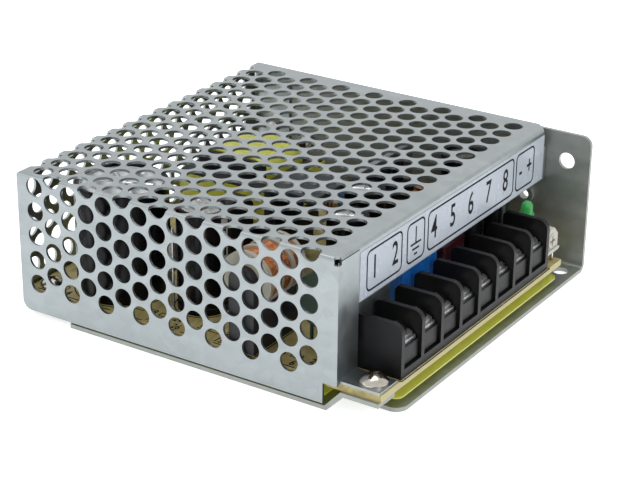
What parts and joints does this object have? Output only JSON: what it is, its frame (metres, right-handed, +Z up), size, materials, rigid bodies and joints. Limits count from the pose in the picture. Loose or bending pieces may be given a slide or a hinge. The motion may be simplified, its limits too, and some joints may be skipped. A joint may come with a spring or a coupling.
{
  "type": "mesh case switching power supply",
  "caption": "Enclosed AC to DC power supply: folded steel chassis under a perforated cover, with a screw terminal strip, green lamp and trimmer at one end.",
  "frame": {"origin": "centre of the base underside", "axes": "+Z up, +X towards the terminal strip, +Y towards the solid side wall of the chassis"},
  "size_m": [0.099, 0.097, 0.036],
  "materials": {
    "galvanised_chassis": "satin zinc plated steel sheet",
    "galvanised_cover": "satin zinc plated steel sheet",
    "label_film": "pale satin sticker",
    "insulating_film": "glossy translucent yellow green film",
    "board": "tan paper laminate",
    "plated_screw": "bright nickel plated steel",
    "black_moulding": "matt black moulding",
    "plated_contact": "tinned brass",
    "lamp_green": "clear green resin",
    "tinned_wire": "tinned copper",
    "white_moulding": "satin white moulding",
    "ferrite": "matt dark grey ferrite",
    "yellow_tape": "glossy yellow polyester tape",
    "aluminium_can": "bright aluminium",
    "black_sleeve": "glossy black shrink sleeve",
    "cream_moulding": "satin cream moulding",
    "enamelled_copper": "enamelled copper wire",
    "green_epoxy": "matt dark green epoxy",
    "blue_epoxy": "blue epoxy",
    "red_epoxy": "dark red epoxy",
    "clear_glass": "clear glass with plated caps",
    "tinned_clip": "tinned brass",
    "grey_aluminium": "grey anodised aluminium",
    "plain_aluminium": "mill finish aluminium",
    "green_powder_core": "matt painted powder core",
    "resistor_body": "beige lacquer"
  },
  "bodies": {
    "case": {"chassis": "galvanised_chassis", "cover": "galvanised_cover", "label": "label_film", "insulating_film": "insulating_film", "circuit_board": "board", "foot_screw": "plated_screw", "board_screws": "plated_screw", "side_screws": "plated_screw", "terminal_block": "black_moulding", "terminal_contacts": "plated_contact", "indicator_lamp": "lamp_green", "lamp_leads": "tinned_wire", "trimmer_body": "white_moulding", "trimmer_pins": "tinned_wire", "transformer_core": "ferrite", "transformer_bobbin": "black_moulding", "transformer_winding": "yellow_tape", "transformer_tape": "yellow_tape", "bulk_capacitor_can": "aluminium_can", "bulk_capacitor_sleeve": "black_sleeve", "filter_capacitor": "black_sleeve", "choke_core": "ferrite", "choke_bobbin": "cream_moulding", "choke_windings": "enamelled_copper", "thermistor": "green_epoxy", "safety_capacitor": "blue_epoxy", "film_capacitor": "red_epoxy", "suppression_capacitors": "blue_epoxy", "fuse": "clear_glass", "fuse_clips": "tinned_clip", "bridge_rectifier": "black_moulding", "primary_heatsink": "grey_aluminium", "switching_transistor": "black_moulding", "secondary_heatsink": "plain_aluminium", "output_rectifiers": "black_moulding", "output_inductor_cores": "green_powder_core", "output_inductor_windings": "enamelled_copper", "output_capacitors": "black_sleeve", "optocoupler": "black_moulding", "control_chip": "black_moulding", "resistors": "resistor_body"},
    "clamp_1": {"terminal_clamp_1": "plated_contact"},
    "screw_1": {"terminal_screw_1": "plated_screw"},
    "clamp_2": {"terminal_clamp_2": "plated_contact"},
    "screw_2": {"terminal_screw_2": "plated_screw"},
    "clamp_3": {"terminal_clamp_3": "plated_contact"},
    "screw_3": {"terminal_screw_3": "plated_screw"},
    "clamp_4": {"terminal_clamp_4": "plated_contact"},
    "screw_4": {"terminal_screw_4": "plated_screw"},
    "clamp_5": {"terminal_clamp_5": "plated_contact"},
    "screw_5": {"terminal_screw_5": "plated_screw"},
    "clamp_6": {"terminal_clamp_6": "plated_contact"},
    "screw_6": {"terminal_screw_6": "plated_screw"},
    "clamp_7": {"terminal_clamp_7": "plated_contact"},
    "screw_7": {"terminal_screw_7": "plated_screw"},
    "clamp_8": {"terminal_clamp_8": "plated_contact"},
    "screw_8": {"terminal_screw_8": "plated_screw"},
    "trimmer_rotor": {"trimmer_rotor": "white_moulding"}
  },
  "joints": [
    {"name": "clamp_1_lift", "type": "slide", "parent": "case", "child": "clamp_1", "axis": [0, 0, 1], "range_m": [0, 0.0025]},
    {"name": "screw_1_turn", "type": "hinge", "parent": "clamp_1", "child": "screw_1", "pos_m": [0.043, -0.0342, 0.0153], "axis": [0, 0, 1], "range_deg": [0, 1800]},
    {"name": "clamp_2_lift", "type": "slide", "parent": "case", "child": "clamp_2", "axis": [0, 0, 1], "range_m": [0, 0.0025]},
    {"name": "screw_2_turn", "type": "hinge", "parent": "clamp_2", "child": "screw_2", "pos_m": [0.043, -0.0257, 0.0153], "axis": [0, 0, 1], "range_deg": [0, 1800]},
    {"name": "clamp_3_lift", "type": "slide", "parent": "case", "child": "clamp_3", "axis": [0, 0, 1], "range_m": [0, 0.0025]},
    {"name": "screw_3_turn", "type": "hinge", "parent": "clamp_3", "child": "screw_3", "pos_m": [0.043, -0.0172, 0.0153], "axis": [0, 0, 1], "range_deg": [0, 1800]},
    {"name": "clamp_4_lift", "type": "slide", "parent": "case", "child": "clamp_4", "axis": [0, 0, 1], "range_m": [0, 0.0025]},
    {"name": "screw_4_turn", "type": "hinge", "parent": "clamp_4", "child": "screw_4", "pos_m": [0.043, -0.0087, 0.0153], "axis": [0, 0, 1], "range_deg": [0, 1800]},
    {"name": "clamp_5_lift", "type": "slide", "parent": "case", "child": "clamp_5", "axis": [0, 0, 1], "range_m": [0, 0.0025]},
    {"name": "screw_5_turn", "type": "hinge", "parent": "clamp_5", "child": "screw_5", "pos_m": [0.043, -0.0002, 0.0153], "axis": [0, 0, 1], "range_deg": [0, 1800]},
    {"name": "clamp_6_lift", "type": "slide", "parent": "case", "child": "clamp_6", "axis": [0, 0, 1], "range_m": [0, 0.0025]},
    {"name": "screw_6_turn", "type": "hinge", "parent": "clamp_6", "child": "screw_6", "pos_m": [0.043, 0.0083, 0.0153], "axis": [0, 0, 1], "range_deg": [0, 1800]},
    {"name": "clamp_7_lift", "type": "slide", "parent": "case", "child": "clamp_7", "axis": [0, 0, 1], "range_m": [0, 0.0025]},
    {"name": "screw_7_turn", "type": "hinge", "parent": "clamp_7", "child": "screw_7", "pos_m": [0.043, 0.0168, 0.0153], "axis": [0, 0, 1], "range_deg": [0, 1800]},
    {"name": "clamp_8_lift", "type": "slide", "parent": "case", "child": "clamp_8", "axis": [0, 0, 1], "range_m": [0, 0.0025]},
    {"name": "screw_8_turn", "type": "hinge", "parent": "clamp_8", "child": "screw_8", "pos_m": [0.043, 0.0253, 0.0153], "axis": [0, 0, 1], "range_deg": [0, 1800]},
    {"name": "trimmer_turn", "type": "hinge", "parent": "case", "child": "trimmer_rotor", "pos_m": [0.0473, 0.0336, 0.0128], "axis": [1, 0, 0], "range_deg": [-110, 110]}
  ],
  "couplings": [
    {"joint": "screw_1_turn", "follows": "clamp_1_lift", "rad_per_m": 12566},
    {"joint": "screw_2_turn", "follows": "clamp_2_lift", "rad_per_m": 12566},
    {"joint": "screw_3_turn", "follows": "clamp_3_lift", "rad_per_m": 12566},
    {"joint": "screw_4_turn", "follows": "clamp_4_lift", "rad_per_m": 12566},
    {"joint": "screw_5_turn", "follows": "clamp_5_lift", "rad_per_m": 12566},
    {"joint": "screw_6_turn", "follows": "clamp_6_lift", "rad_per_m": 12566},
    {"joint": "screw_7_turn", "follows": "clamp_7_lift", "rad_per_m": 12566},
    {"joint": "screw_8_turn", "follows": "clamp_8_lift", "rad_per_m": 12566}
  ]
}
